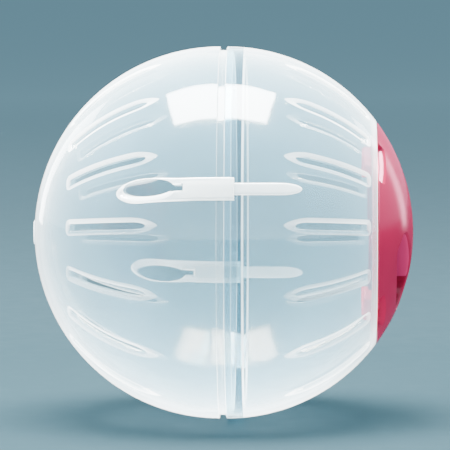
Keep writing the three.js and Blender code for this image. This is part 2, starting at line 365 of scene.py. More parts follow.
def leaning(angle):
    """Like on_surface, but a level is (radius, how far the section is moved sideways)."""
    surface = on_surface(angle)
    return lambda along, aside, level: surface(along, aside + level[1], level[0])


def on_axis(centre, angle):
    """Places (distance from the axis, sideways, level).

    A level is ("x", place along X) or ("r", sphere radius).
    """
    up = outward(angle)
    across = sideways(angle)

    def place(away, aside, level):
        kind, value = level
        if kind == "r":
            value = centre + math.sqrt(max(0.0, value * value - away * away - aside * aside))
        return ALONG * value + up * away + across * aside

    return place


def joined(name, objects):
    """One object of several separate solids."""
    bm = bmesh.new()
    for obj in objects:
        bm.from_mesh(obj.data)
        bpy.data.objects.remove(obj)
    merged = mesh_object(name, [], [])
    bm.to_mesh(merged.data)
    bm.free()
    return merged


def combined(obj, other, operation):
    """Joins or cuts a solid with another, which is used up."""
    step = obj.modifiers.new(operation, "BOOLEAN")
    step.operation = operation
    step.solver = "MANIFOLD"
    step.object = other
    graph = bpy.context.evaluated_depsgraph_get()
    result = bpy.data.meshes.new_from_object(obj.evaluated_get(graph), depsgraph=graph)
    obj.modifiers.clear()
    obj.data = result
    bpy.data.objects.remove(other)
    return obj


def cut(obj, *cutters):
    for cutter in cutters:
        combined(obj, cutter, "DIFFERENCE")
    return obj


def shaded(obj, spheres, cut_slot=CUT_SLOT, seam=None):
    """Gives the faces that lie on a sphere its true normals, and chooses each face's material slot.

    spheres is a list of (centre along X, radius, slot). Faces on none of them take cut_slot. On a half shell,
    seam is (low, high) along X. It is the stretch of thin rim or of lip, whose level faces and steps have
    slots of their own.
    """
    mesh = obj.data
    mesh.materials.clear()
    count = len(mesh.polygons)
    starts = np.empty(count, np.int32)
    totals = np.empty(count, np.int32)
    mesh.polygons.foreach_get("loop_start", starts)
    mesh.polygons.foreach_get("loop_total", totals)
    mesh.polygons.foreach_set("use_smooth", np.ones(count, bool))
    points = np.empty(len(mesh.vertices) * 3)
    mesh.vertices.foreach_get("co", points)
    points = points.reshape(-1, 3)
    corner_points = np.empty(len(mesh.loops), np.int32)
    corner_edges = np.empty(len(mesh.loops), np.int32)
    mesh.loops.foreach_get("vertex_index", corner_points)
    mesh.loops.foreach_get("edge_index", corner_edges)
    at = points[corner_points]
    owner = np.repeat(np.arange(count), totals)
    facing = np.array([p.normal for p in mesh.polygons])
    on_any = np.zeros(count, bool)
    slots = np.full(count, cut_slot)
    radial = np.zeros((len(mesh.loops), 3))
    for centre, radius, sphere_slot in spheres:
        away = at - np.array((centre, 0, 0))
        reach = np.linalg.norm(away, axis=1)
        off = np.maximum.reduceat(np.abs(reach - radius), starts) > ON_SPHERE
        here = ~off & ~on_any
        sign = np.sign((away * facing[owner]).sum(1))
        mine = here[owner]
        radial[mine] = (away / reach[:, None] * sign[:, None])[mine]
        slots[here] = sphere_slot
        on_any |= here
    sides = np.zeros((2, len(mesh.edges)), bool)
    sides[0, corner_edges[on_any[owner]]] = True
    sides[1, corner_edges[~on_any[owner]]] = True
    mesh.set_sharp_from_angle(angle=math.radians(SHARP_ANGLE))
    sharp = np.empty(len(mesh.edges), bool)
    mesh.edges.foreach_get("use_edge_sharp", sharp)
    mesh.edges.foreach_set("use_edge_sharp", sharp | (sides[0] & sides[1]))
    mesh.update()
    normals = np.empty(len(mesh.loops) * 3, np.float32)
    mesh.corner_normals.foreach_get("vector", normals)
    normals = normals.reshape(-1, 3)
    normals[on_any[owner]] = radial[on_any[owner]]
    if seam:
        choose_seam_slots(slots, on_any, facing, at, starts, totals, seam)
    mesh.polygons.foreach_set("material_index", slots.astype(np.int32))
    mesh.normals_split_custom_set(normals.tolist())
    return obj


def choose_seam_slots(slots, on_sphere, facing, at, starts, totals, seam):
    """Changes the slots of a half shell's faces near the seam, in the slots and on the boss.

    on_sphere tells which faces are on a sphere, and facing is each face's normal. at is the place of every
    corner. A face's corners begin at its starts, and totals counts them.
    """

    def middle(values):
        return np.add.reduceat(values, starts) / totals

    off_axis = np.hypot(at[:, 1], at[:, 2])
    from_centre = middle(np.hypot(np.abs(at[:, 0]) - RIGHT_CENTRE, off_axis))
    along = middle(at[:, 0])
    away = middle(off_axis)
    low, high = seam
    rebate = RIGHT_CENTRE + RIM_REBATE
    free = ~on_sphere
    shallow = away > BALL_RADIUS - SEAM_DEPTH
    level = shallow & (np.abs(facing[:, 0]) < 0.5)
    deep = from_centre < BALL_RADIUS - SLOT_FLARE_DEPTH
    slots[free & deep & (np.abs(facing[:, 0]) < 0.9)] = INNER_SLOT
    slots[free & level] = INNER_SLOT
    slots[free & (along < LEFT_CENTRE - BALL_RADIUS + EDGE)] = OUTER_SLOT
    slots[free & shallow & (along > rebate) & (along < rebate + REBATE_SLOPE)] = STEP_SLOT
    near = shallow & (along > low - EDGE) & (along < high + EDGE) & (along < rebate - EDGE)
    slots[free & near & ~level] = STEP_SLOT
    slots[level & (along > low) & (along < high)] = SEAM_SLOT
    lapped = (along > RIGHT_CENTRE) & (along < LIP_END) & (away < BALL_RADIUS - THIN_RIM)
    slots[level & lapped] = LAP_SLOT


# Air slots.


def mirrored(outline):
    """The same outline on the other half."""
    return [(-along, half) for along, half in reversed(outline)]


def slot_outline(inner):
    """The right half's slot at the surface, from its seam end to its pole end."""
    seam_end = RIGHT_CENTRE + BALL_RADIUS * math.acos(SLOT_OUTER / BALL_RADIUS)
    pole_end = RIGHT_CENTRE + BALL_RADIUS * math.acos(inner / BALL_RADIUS)
    points = []
    for i in range(9):
        turn = math.pi / 2 * i / 8
        points.append((seam_end + SLOT_TAPER * (1 - math.cos(turn)), SLOT_HALF_WIDTH * math.sin(turn)))
    first = points[-1][0]
    last = pole_end - SLOT_CORNER
    points += [(first + (last - first) * i / 14, SLOT_HALF_WIDTH) for i in range(1, 14)]
    for i in range(7):
        turn = math.pi / 2 * i / 6
        along = last + SLOT_CORNER * math.sin(turn)
        points.append((along, SLOT_HALF_WIDTH - SLOT_CORNER * (1 - math.cos(turn))))
    return points


def slot_flare(inner):
    """From the through slot up and out to the surface, as a quarter round that meets it at a crease.

    On the way up its seam end is drawn out to a long point.
    """
    end = math.radians(SLOT_FLARE_TURN)
    spread = SLOT_FLARE / (1 - math.cos(end))
    steps = [(BALL_RADIUS - SLOT_FLARE_DEPTH - 0.1, -0.15, 0.0)]
    for i in range(8):
        turn = end * i / 7
        depth = SLOT_FLARE_DEPTH * (1 - math.sin(turn) / math.sin(end))
        steps.append((BALL_RADIUS - depth, spread * (1 - math.cos(turn)), SLOT_POINT * (i / 7) ** 2))
    (low, near, short), (high, far, long) = steps[-2:]
    share = SLOT_OVERSHOOT / (high - low)
    steps.append((high + SLOT_OVERSHOOT, far + (far - near) * share, long + (long - short) * share))
    stack = []
    for level, margin, point in steps:
        outline = grown(slot_outline(inner), margin)
        widest = max(half for along, half in outline)
        middle = (outline[0][0] + outline[-1][0]) / 2
        drawn = []
        for along, half in outline:
            pull = point * (1 - half / widest) ** 0.8 if along < middle else 0.0
            drawn.append((along - pull, half))
        stack.append((level, drawn))
    return stack


def blade_outline(inner):
    """The straight blade that makes the slot: distance from the axis, half width."""
    points = [(inner, SLOT_HALF_WIDTH), (SLOT_OUTER - BLADE_TAPER, SLOT_HALF_WIDTH)]
    for i in range(1, 9):
        turn = math.pi / 2 * i / 8
        points.append((SLOT_OUTER - BLADE_TAPER * (1 - math.sin(turn)), SLOT_HALF_WIDTH * math.cos(turn)))
    return points


def slot_cutters(centre, side, inner):
    """The blades that go through the wall, and the flares round them.

    side is 1 for the right half and -1 for the left one.
    """
    ends = sorted((centre + side * 2, centre + side * (BALL_RADIUS + 1)))
    through = [(("x", x), blade_outline(inner)) for x in ends]
    flare = slot_flare(inner)
    if side < 0:
        flare = [(level, mirrored(outline)) for level, outline in flare]
    blades = []
    flares = []
    for i in range(SLOT_COUNT):
        angle = SLOT_START + 360 / SLOT_COUNT * i
        blades.append(lofted("blade", through, on_axis(centre, angle), 2))
        flares.append(lofted("flare", flare, on_surface(angle), 4))
    return joined("blades", blades), joined("flares", flares)


# Latches.


def along_surface(x):
    """The distance along the surface, from the ball's middle, of a place along X."""
    centre = max(LEFT_CENTRE, min(RIGHT_CENTRE, x))
    return centre + BALL_RADIUS * math.asin((x - centre) / BALL_RADIUS)


def hood_outline():
    """From the nose, round and along the canoe-shaped hood, to the sleeve's square mouth."""
    nose = along_surface(HOOD_NOSE)
    shoulder = along_surface(HOOD_SHOULDER)
    points = [(nose, 0.0)]
    for i in range(1, 33):
        share = (1 - math.cos(math.pi * i / 32)) / 2
        rise = (1 - (1 - min(1.0, share / HOOD_NOSE_SHARE)) ** 2.2) ** 0.5
        swell = HOOD_SWELL * math.sin(math.pi * share) ** 1.5
        points.append((nose + (shoulder - nose) * share, HOOD_HALF_WIDTH * rise + swell))
    points += [(shoulder + (HOOD_MOUTH - shoulder) * i / 10, HOOD_HALF_WIDTH) for i in range(1, 11)]
    return points


def bent(angle):
    """Like on_surface, with the hood's nose end and the tongue's root bent up."""
    surface = on_surface(angle)
    nose = along_surface(HOOD_NOSE)
    shoulder = along_surface(HOOD_SHOULDER)
    root = along_surface(TONGUE_ROOT)

    def place(along, aside, radius):
        left = max(0.0, min(1.0, (along - nose) / (shoulder - nose)))
        right = max(0.0, (along - HOOD_MOUTH) / (root - HOOD_MOUTH))
        rise = HOOD_RISE * math.sin(math.pi * left) ** 1.5 + TONGUE_RISE * right**1.5
        return surface(along, aside + rise, radius)

    return place


def window_outline():
    start = along_surface(WINDOW_MIDDLE - WINDOW_HALF_LENGTH)
    end = along_surface(WINDOW_MIDDLE + WINDOW_HALF_LENGTH)
    points = []
    for i in range(29):
        turn = math.pi * i / 28
        half = WINDOW_HALF_WIDTH * math.sin(turn) ** 0.95 if 0 < i < 28 else 0.0
        points.append(((start + end) / 2 - (end - start) / 2 * math.cos(turn), half))
    return points


def finger_window(angle):
    """Its walls lean up as they go in, and its lower rim slopes more than its upper one."""
    top = BALL_RADIUS + HOOD_HEIGHT
    steps = [(BALL_RADIUS - 4, 0.0), (top - 1.5, 0.0), (top - 0.8, 0.2), (top - 0.25, 0.6), (top + 0.3, 1.2)]
    levels = []
    for radius, margin in steps:
        rise = WINDOW_RISE + (top - radius) * WINDOW_LEAN - margin * 0.75
        levels.append(((radius, rise), margin))
    return lofted("finger_window", sections(window_outline(), levels), leaning(angle), 6)


def strip(name, angle, start, end, half_width, low, high, rise=0.0):
    """A straight-sided strip that follows the surface between two places along it."""
    count = max(2, round(abs(end - start) / 1.5))
    outline = [(start + (end - start) * i / count, half_width) for i in range(count + 1)]
    return lofted(name, [((low, rise), outline), ((high, rise), outline)], leaning(angle), 4)


def release_slit(angle):
    start = along_surface(SLIT_START)
    end = along_surface(SLIT_END)
    return strip("slit", angle, start, end, SLIT_HALF_WIDTH, BALL_RADIUS - 4, BALL_RADIUS + 5, SLIT_RISE)


def pocket(angle):
    start = along_surface(HOOD_SHOULDER)
    return strip("pocket", angle, start, HOOD_MOUTH + 1, POCKET_HALF_WIDTH, BALL_RADIUS - 1, POCKET_CEILING)


def box_along(name, angle, low, high, half_width, start, end):
    """A straight block along X: from low to high off the axis."""
    outline = [(low, half_width), (high, half_width)]
    return lofted(name, [(("x", start), outline), (("x", end), outline)], on_axis(0, angle), 2)


def pocket_floor(angle):
    """The straight-bottomed groove in the wall under the sleeve."""
    high = BALL_RADIUS + 2
    return box_along("pocket_floor", angle, POCKET_FLOOR, high, POCKET_HALF_WIDTH, HOOD_SHOULDER, LIP_END)


def latch_hood(side, angle):
    surface = BALL_RADIUS + 0.03
    top = BALL_RADIUS + HOOD_HEIGHT
    levels = [
        (surface, 0.12),
        (surface + 0.25, 0.03),
        (surface + 0.6, 0.0),
        (top - 0.6, 0.0),
        (top - 0.25, -0.1),
        (top - 0.07, -0.25),
        (top, -0.45),
    ]
    hood = lofted(f"{side}_hood", sections(hood_outline(), levels), bent(angle), 10)
    cut(hood, finger_window(angle), pocket(angle), release_slit(angle))
    return shaded(hood, [(LEFT_CENTRE, top, OUTER_SLOT)])


def tongue_outline():
    """From the square tip, along, to the rounded root."""
    tip = along_surface(TONGUE_TIP)
    root = along_surface(TONGUE_ROOT)
    straight = root - TONGUE_ROOT_TAPER
    points = [(tip, TONGUE_HALF_WIDTH - 0.4), (tip + 0.4, TONGUE_HALF_WIDTH)]
    points += [(tip + 0.4 + (straight - tip - 0.4) * i / 24, TONGUE_HALF_WIDTH) for i in range(1, 25)]
    for i in range(1, 13):
        turn = math.pi / 2 * i / 12
        half = TONGUE_HALF_WIDTH * math.cos(turn) if i < 12 else 0.0
        points.append((straight + TONGUE_ROOT_TAPER * math.sin(turn), half))
    return points


def latch_tongue(side, angle):
    levels = [
        (TONGUE_BOTTOM, -0.1),
        (TONGUE_BOTTOM + 0.12, 0.0),
        (TONGUE_TOP - 0.45, 0.0),
        (TONGUE_TOP - 0.22, -0.12),
        (TONGUE_TOP - 0.07, -0.35),
        (TONGUE_TOP, -0.7),
    ]
    tongue = lofted(f"{side}_tongue", sections(tongue_outline(), levels), bent(angle), 6)
    return shaded(tongue, [(RIGHT_CENTRE, TONGUE_TOP, OUTER_SLOT), (LEFT_CENTRE, TONGUE_TOP, OUTER_SLOT)])


# Half shells.


def shell_spheres(centre):
    return [(centre, BALL_RADIUS, OUTER_SLOT), (centre, INNER_RADIUS, INNER_SLOT)]


def left_half():
    lip_outside = BALL_RADIUS - THIN_RIM - LIP_GAP
    lip_inside = lip_outside - LIP_THICKNESS
    boss_start = math.sqrt(BALL_RADIUS**2 - (BOSS_RADIUS + 0.2) ** 2)
    profile = [
        (0.0, BOSS_FACE),
        (BOSS_RADIUS - 2 * BOSS_EDGE, BOSS_FACE),
        (BOSS_RADIUS - BOSS_EDGE / 2, BOSS_FACE + BOSS_EDGE / 2),
        (BOSS_RADIUS, BOSS_FACE + BOSS_EDGE),
        *arc(LEFT_CENTRE, BALL_RADIUS, -boss_start, -EDGE),
        (BALL_RADIUS - EDGE, LEFT_CENTRE),
        (lip_outside, LEFT_CENTRE),
        (lip_outside, RIGHT_CENTRE),
        (lip_outside, LIP_END - EDGE),
        (lip_outside - EDGE, LIP_END),
        (lip_inside + EDGE, LIP_END),
        (lip_inside, LIP_END - EDGE),
        (lip_inside, RIGHT_CENTRE),
        (lip_inside, LEFT_CENTRE - LIP_ROOT + 1),
        *arc(LEFT_CENTRE, INNER_RADIUS, -LIP_ROOT, -INNER_RADIUS),
    ]
    shell = turned("left_shell", profile)
    cut(shell, *slot_cutters(LEFT_CENTRE, -1, LEFT_SLOT_INNER))
    for angle in LATCHES.values():
        cut(shell, finger_window(angle), pocket_floor(angle), release_slit(angle))
    return shaded(shell, shell_spheres(LEFT_CENTRE), seam=(LEFT_CENTRE, LIP_END))


def right_half():
    rebate = BALL_RADIUS - THIN_RIM
    flange_back = MOUTH_PLANE - FLANGE_THICKNESS
    mouth = RIGHT_CENTRE + MOUTH_PLANE
    rim = math.sqrt(BALL_RADIUS**2 - MOUTH_PLANE**2)
    profile = [
        (rebate, RIGHT_CENTRE),
        (BALL_RADIUS - EDGE, RIGHT_CENTRE),
        *arc(RIGHT_CENTRE, BALL_RADIUS, EDGE, RIM_REBATE),
        *arc(RIGHT_CENTRE, BALL_RADIUS, RIM_REBATE, MOUTH_PLANE - EDGE)[1:],
        (rim - EDGE / 2, mouth),
        (MOUTH_RADIUS + EDGE, mouth),
        (MOUTH_RADIUS, mouth - EDGE),
        (MOUTH_RADIUS, RIGHT_CENTRE + flange_back),
        *arc(RIGHT_CENTRE, INNER_RADIUS, flange_back, RIM_REBATE + REBATE_SLOPE),
        (rebate, RIGHT_CENTRE + RIM_REBATE),
    ]
    shell = turned("right_shell", profile)
    cut(shell, *slot_cutters(RIGHT_CENTRE, 1, RIGHT_SLOT_INNER))
    start = RIGHT_CENTRE + flange_back - 0.1
    notches = [
        box_along("notch", angle, MOUTH_RADIUS - 2, NOTCH_RADIUS, NOTCH_HALF_WIDTH, start, mouth + 1)
        for angle in LUG_ANGLES
    ]
    cut(shell, joined("notches", notches))
    return shaded(shell, shell_spheres(RIGHT_CENTRE), seam=(RIGHT_CENTRE, RIGHT_CENTRE + RIM_REBATE))


# Lid.


def well_outline():
    """One side of the D: out from the straight chord, round the corner, along the side and round the arc."""
    half = WELL_HALF_WIDTH
    corner = WELL_CORNER
    side = math.sqrt(WELL_OUTER**2 - half**2)
    points = []
    for i in range(9):
        turn = math.pi / 2 * i / 8
        along = WELL_CHORD + corner * (1 - math.cos(turn))
        points.append((along, half - corner + corner * math.sin(turn)))
    points.append((side - corner / 2, half))
    sweep = math.asin((half - corner / 2) / WELL_OUTER)
    start = Vector((side - corner / 2, half))
    knee = Vector((side, half))
    end = Vector((WELL_OUTER * math.cos(sweep), WELL_OUTER * math.sin(sweep)))
    for i in range(1, 6):
        t = i / 6
        point = start * (1 - t) ** 2 + knee * (2 * t * (1 - t)) + end * t * t
        points.append(tuple(point))
    for i in range(13):
        turn = sweep * (1 - i / 12)
        points.append((WELL_OUTER * math.cos(turn), WELL_OUTER * math.sin(turn) if i < 12 else 0.0))
    return points


def well_cutter(angle):
    levels = [
        (("x", WELL_FLOOR), -1.4),
        (("x", WELL_FLOOR + 0.15), -0.8),
        (("x", WELL_FLOOR + 0.6), -0.25),
        (("x", WELL_FLOOR + 1.4), 0.0),
        (("r", BALL_RADIUS - 1.2), 0.1),
        (("r", BALL_RADIUS - 0.6), 0.3),
        (("r", BALL_RADIUS - 0.2), 0.7),
        (("r", BALL_RADIUS + 0.3), 1.6),
    ]
    return lofted("well", sections(well_outline(), levels), on_axis(RIGHT_CENTRE, angle), 12)


def well_cup(angle):
    levels = [
        (("x", WELL_FLOOR - WALL), 0.2),
        (("x", WELL_FLOOR - WALL + 0.4), 1.0),
        (("x", WELL_FLOOR), 1.45),
        (("x", WELL_FLOOR + 1.5), WALL),
        (("r", BALL_RADIUS - WALL / 2), WALL + 0.1),
    ]
    return lofted("cup", sections(well_outline(), levels), on_axis(RIGHT_CENTRE, angle), 12)


def rim_window(angle):
    half = RIM_WINDOW_HALF_WIDTH
    corner = RIM_WINDOW_CORNER
    outline = []
    for i in range(5):
        turn = math.pi / 2 * i / 4
        along = RIM_WINDOW_INNER + corner * (1 - math.cos(turn))
        outline.append((along, half - corner + corner * math.sin(turn)))
    outline += [(RIM_WINDOW_INNER + 3, half), (RIM_WINDOW_INNER + 8, half)]
    levels = [
        (("x", RIGHT_CENTRE + 40), 0.0),
        (("r", BALL_RADIUS - 0.9), 0.0),
        (("r", BALL_RADIUS - 0.3), 0.15),
        (("r", BALL_RADIUS + 0.3), 0.6),
    ]
    return lofted("rim_window", sections(outline, levels), on_axis(RIGHT_CENTRE, angle), 10)


def lid_cap():
    seat = RIGHT_CENTRE + LID_SEAT
    rim = math.sqrt(BALL_RADIUS**2 - LID_SEAT**2)
    profile = [
        *arc(RIGHT_CENTRE, INNER_RADIUS, INNER_RADIUS, LID_SEAT),
        (rim - EDGE, seat),
        (rim, seat + EDGE / 2),
        *arc(RIGHT_CENTRE, BALL_RADIUS, LID_SEAT + EDGE, BALL_RADIUS),
    ]
    cap = turned("lid", profile)
    combined(cap, joined("cups", [well_cup(angle) for angle in WELL_ANGLES]), "UNION")
    cut(cap, joined("wells", [well_cutter(angle) for angle in WELL_ANGLES]))
    cut(cap, joined("windows", [rim_window(angle) for angle in RIM_WINDOW_ANGLES]))
    spheres = [(RIGHT_CENTRE, BALL_RADIUS, OUTER_SLOT), (RIGHT_CENTRE, INNER_RADIUS, OUTER_SLOT)]
    shaded(cap, spheres, cut_slot=OUTER_SLOT)
    for angle in WELL_ANGLES:
        choose_well_slots(cap, angle)
    return cap


def choose_well_slots(cap, angle):
    """Gives a well's straight wall a slot with painted light, and its side walls and the shaded end of that
    wall another with painted shade.
    """
    up = outward(angle)
    across = sideways(angle)
    for face in cap.data.polygons:
        away = face.center.dot(up)
        aside = face.center.dot(across)
        in_well = face.center.x > WELL_FLOOR - 0.1 and WELL_CHORD - 1 < away < WELL_OUTER + 1
        if not in_well or face.material_index != OUTER_SLOT or abs(face.normal.x) >= 0.5:
            continue
        straight = face.normal.dot(up) > FACING
        if straight and WELL_PAINTED_SHADE_START < aside < WELL_HALF_WIDTH:
            face.material_index = WELL_PAINTED_LIGHT_SLOT
        elif straight or face.normal.dot(across) * aside < -FACING * abs(aside):
            face.material_index = WELL_PAINTED_SHADE_SLOT


def skirt_ring():
    end = LUG_TOP + 0.05
    profile = [
        (SKIRT_INNER, end + EDGE),
        (SKIRT_INNER + EDGE, end),
        (SKIRT_RADIUS - EDGE, end),
        (SKIRT_RADIUS, end + EDGE),
        (SKIRT_RADIUS, skirt_high.x),
        (SKIRT_INNER, skirt_high.x),
    ]
    return shaded(turned("lid_skirt", profile), [], cut_slot=OUTER_SLOT)


def lid_lug(number, angle):
    far = LUG_OUTER - LUG_CORNER
    side = LUG_HALF_WIDTH - LUG_CORNER
    outline = [(SKIRT_INNER, LUG_HALF_WIDTH), (far, LUG_HALF_WIDTH)]
    for i in range(1, 5):
        turn = math.pi / 2 * i / 4
        outline.append((far + LUG_CORNER * math.sin(turn), side + LUG_CORNER * math.cos(turn)))
    levels = [
        (("x", LUG_END), -0.3),
        (("x", LUG_END + 0.3), 0.0),
        (("x", LUG_TOP - 0.3), 0.0),
        (("x", LUG_TOP), -0.3),
    ]
    lug = lofted(f"lug_{number}", sections(outline, levels), on_axis(0, angle), 4)
    return shaded(lug, [], cut_slot=OUTER_SLOT)


# Materials.


class Nodes:
    """A small helper that adds nodes to a material and links them."""

    def __init__(self, name):
        self.material = bpy.data.materials.new(name)
        self.material.use_nodes = True
        self.tree = self.material.node_tree
        self.tree.nodes.clear()
        self.out = self.add("ShaderNodeOutputMaterial")

    def add(self, kind, settings=None, **inputs):
        node = self.tree.nodes.new(kind)
        for name, value in (settings or {}).items():
            setattr(node, name, value)
        for name, value in inputs.items():
            key = int(name[1:]) if name[0] == "_" else name.replace("_", " ")
            self.put(node.inputs[key], value)
        return node

    def put(self, socket, value):
        if isinstance(value, bpy.types.NodeSocket):
            self.tree.links.new(value, socket)
        else:
            socket.default_value = value

    def math(self, operation, a, b=0.0):
        return self.add("ShaderNodeMath", {"operation": operation}, _0=a, _1=b).outputs[0]

    def vector(self, operation, *values):
        inputs = {f"_{i}": value for i, value in enumerate(values)}
        return self.add("ShaderNodeVectorMath", {"operation": operation}, **inputs)

    def height(self, vector):
        return self.add("ShaderNodeSeparateXYZ", None, Vector=vector).outputs["Z"]

    def noise(self, scale, detail=2.0, roughness=0.5):
        place = self.add("ShaderNodeTexCoord").outputs["Object"]
        settings = {"Vector": place, "Scale": scale, "Detail": detail, "Roughness": roughness}
        node = self.add("ShaderNodeTexNoise", None, **settings)
        return node.outputs["Fac"]

    def ripple(self, strength, scale):
        settings = {"Strength": strength, "Distance": RIPPLE_DEPTH * MM, "Height": self.noise(scale)}
        return self.add("ShaderNodeBump", None, **settings).outputs[0]

    def ranged(self, value, low, high, from_low=0.3, from_high=0.7):
        node = self.add("ShaderNodeMapRange", None, _0=value, _1=from_low, _2=from_high, _3=low, _4=high)
        return node.outputs[0]

    def blended(self, share, first, second):
        node = self.add("ShaderNodeMix", {"data_type": "RGBA"}, _0=share, _6=(*first, 1), _7=(*second, 1))
        return node.outputs[2]

    def lost(self, path):
        """The share of the light that a path through haze scatters."""
        return self.math("SUBTRACT", 1.0, self.math("POWER", math.e, self.math("MULTIPLY", path, -1.0)))

    def scatter(self, colour, normal):
        """Light scattered equally forward and back."""
        back = self.add("ShaderNodeBsdfDiffuse", None, Color=colour, Normal=normal).outputs[0]
        through = self.add("ShaderNodeBsdfTranslucent", None, Color=colour, Normal=normal).outputs[0]
        return self.mix(0.5, back, through)

    def painted_light_share(self):
        """The share of the frost that a face of a slot's border has, from the way that it faces. It is
        painted light: the upper border takes more frost, so shows whiter, than the lower one, and in the
        ball's lower half both take less.
        """
        normal = self.add("ShaderNodeTexCoord").outputs["Normal"]
        place = self.add("ShaderNodeTexCoord").outputs["Object"]
        across = self.vector("MULTIPLY", place, (0, 1, 1)).outputs["Vector"]
        away = self.vector("NORMALIZE", across).outputs["Vector"]
        outward = self.vector("DOT_PRODUCT", normal, away).outputs["Value"]
        level = self.height(away)
        upward = self.math("SUBTRACT", self.height(normal), self.math("MULTIPLY", outward, level))
        side = self.ranged(upward, *PAINTED_LIGHT_SIDE_FROST, -SIDE_TURN, SIDE_TURN)
        high = self.ranged(level, 0.0, 1.0, *LOW_FADE)
        extra = self.math("MULTIPLY", high, self.math("SUBTRACT", side, LOW_FROST))
        return self.math("ADD", LOW_FROST, extra)

    def glossy(self, tint, roughness, normal):
        settings = {"Color": (*tint, 1), "Roughness": roughness, "Normal": normal}
        return self.add("ShaderNodeBsdfGlossy", None, **settings).outputs[0]

    def mix(self, share, first, second):
        return self.add("ShaderNodeMixShader", None, _0=share, _1=first, _2=second).outputs[0]


def milky_plastic(
    name,
    haze,
    frost,
    roughness,
    bump,
    gloss=1.0,
    hidden=1.0,
    tint=(1, 1, 1),
    shine_tint=(1, 1, 1),
    border=False,
):
    """Clear plastic with a bluish haze, and a white frost that thickens as the look through it slants.

    haze and frost are how much of each a straight look through one face meets. hidden is the share of the
    frost that shows on a face seen from within the plastic. tint colours what is seen through it, and
    shine_tint what it reflects. border paints light on a slot's borders: the upper one frostier, so whiter,
    than the lower one.
    """
    n = Nodes(name)
    facing = n.add("ShaderNodeLayerWeight", None, Blend=0.5).outputs["Facing"]
    straight = n.math("ADD", n.math("SUBTRACT", 1.0, facing), 0.03)
    cloud = n.ranged(n.noise(38.0, 3.0), 0.75, 1.3)
    ripple = n.ripple(bump, 55.0)
    place = n.add("ShaderNodeTexCoord").outputs["Object"]
    along = n.add("ShaderNodeSeparateXYZ", None, Vector=place).outputs["X"]
    collar = n.ranged(along, 1.0, COLLAR_FROST, COLLAR_START * MM, COLLAR_END * MM)
    inside = n.add("ShaderNodeNewGeometry").outputs["Backfacing"]
    shown = n.ranged(inside, 1.0, hidden, 0.0, 1.0)
    if border:
        shown = n.math("MULTIPLY", shown, n.painted_light_share())
    blue = n.blended(n.ranged(n.noise(24.0, 3.0), 0.0, 1.0), *HAZE_COLOURS)
    white = n.blended(n.ranged(n.noise(31.0, 3.0), 0.0, 1.0), *FROST_COLOURS)
    clear = n.add("ShaderNodeBsdfTransparent", None, Color=(*tint, 1)).outputs[0]
    haze_path = n.math("MULTIPLY", n.math("DIVIDE", cloud, straight), haze)
    hazy = n.mix(n.lost(haze_path), clear, n.scatter(blue, ripple))
    slant = n.math("POWER", straight, SLANT_POWER)
    frost_path = n.math("DIVIDE", n.math("MULTIPLY", cloud, frost), slant)
    frost_path = n.math("MULTIPLY", frost_path, n.math("MULTIPLY", collar, shown))
    body = n.mix(n.lost(frost_path), hazy, n.scatter(white, ripple))
    shine = n.math("MULTIPLY", n.math("POWER", facing, 5.0), EDGE_SHINE * gloss)
    shine = n.math("ADD", shine, STRAIGHT_SHINE * gloss)
    shine = n.math("MULTIPLY", shine, n.ranged(inside, 1.0, HIDDEN_GLOSS, 0.0, 1.0))
    rough = n.ranged(n.noise(900.0, 2.0), roughness * 0.8, roughness * 1.3)
    glossy = n.glossy(shine_tint, rough, ripple)
    n.put(n.out.inputs["Surface"], n.mix(shine, body, glossy))
    return n.material


def pink_plastic(name, colours, through):
    """Solid pink plastic with a tinted gloss. through is the share of its light that comes from behind it."""
    n = Nodes(name)
    facing = n.add("ShaderNodeLayerWeight", None, Blend=0.5).outputs["Facing"]
    ripple = n.ripple(0.12, 60.0)
    colour = n.blended(n.ranged(n.noise(30.0, 3.0), 0.0, 1.0), *colours)
    back = n.add("ShaderNodeBsdfDiffuse", None, Color=colour, Normal=ripple).outputs[0]
    glow = n.add("ShaderNodeBsdfTranslucent", None, Color=colour, Normal=ripple).outputs[0]
    rough = n.ranged(n.noise(700.0, 2.0), 0.13, 0.22)
    glossy = n.glossy(PINK_GLOSS, rough, ripple)
    shine = n.math("ADD", n.math("MULTIPLY", n.math("POWER", facing, 4.0), 0.34), 0.04)
    n.put(n.out.inputs["Surface"], n.mix(shine, n.mix(through, back, glow), glossy))
    return n.material


def floor_with_painted_shade():
    """Pale paint with painted shade: a little darker near the middle, where the light is strongest."""
    n = Nodes("floor_with_painted_shade")
    place = n.add("ShaderNodeTexCoord").outputs["Object"]
    away = n.add("ShaderNodeVectorMath", {"operation": "LENGTH"}, _0=place).outputs["Value"]
    grain = n.ranged(n.noise(120.0, 4.0), -0.02, 0.02)
    far = n.math("ADD", n.ranged(away, 0.0, 1.0, 0.2, 2.2), grain)
    body = n.add("ShaderNodeBsdfDiffuse", None, Color=n.blended(far, *FLOOR_PAINTED_SHADE_COLOURS))
    n.put(n.out.inputs["Surface"], body.outputs[0])
    return n.material


# The pieces.


def finished(obj, name, body, materials, nodes):
    """Turns a piece to metres, names it and tells the frame what it is."""
    obj.name = name
    obj.data.name = name
    obj.data.transform(Matrix.Scale(MM, 4))
    for material in materials:
        obj.data.materials.append(material)
    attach(obj, body)
    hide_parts(*nodes)


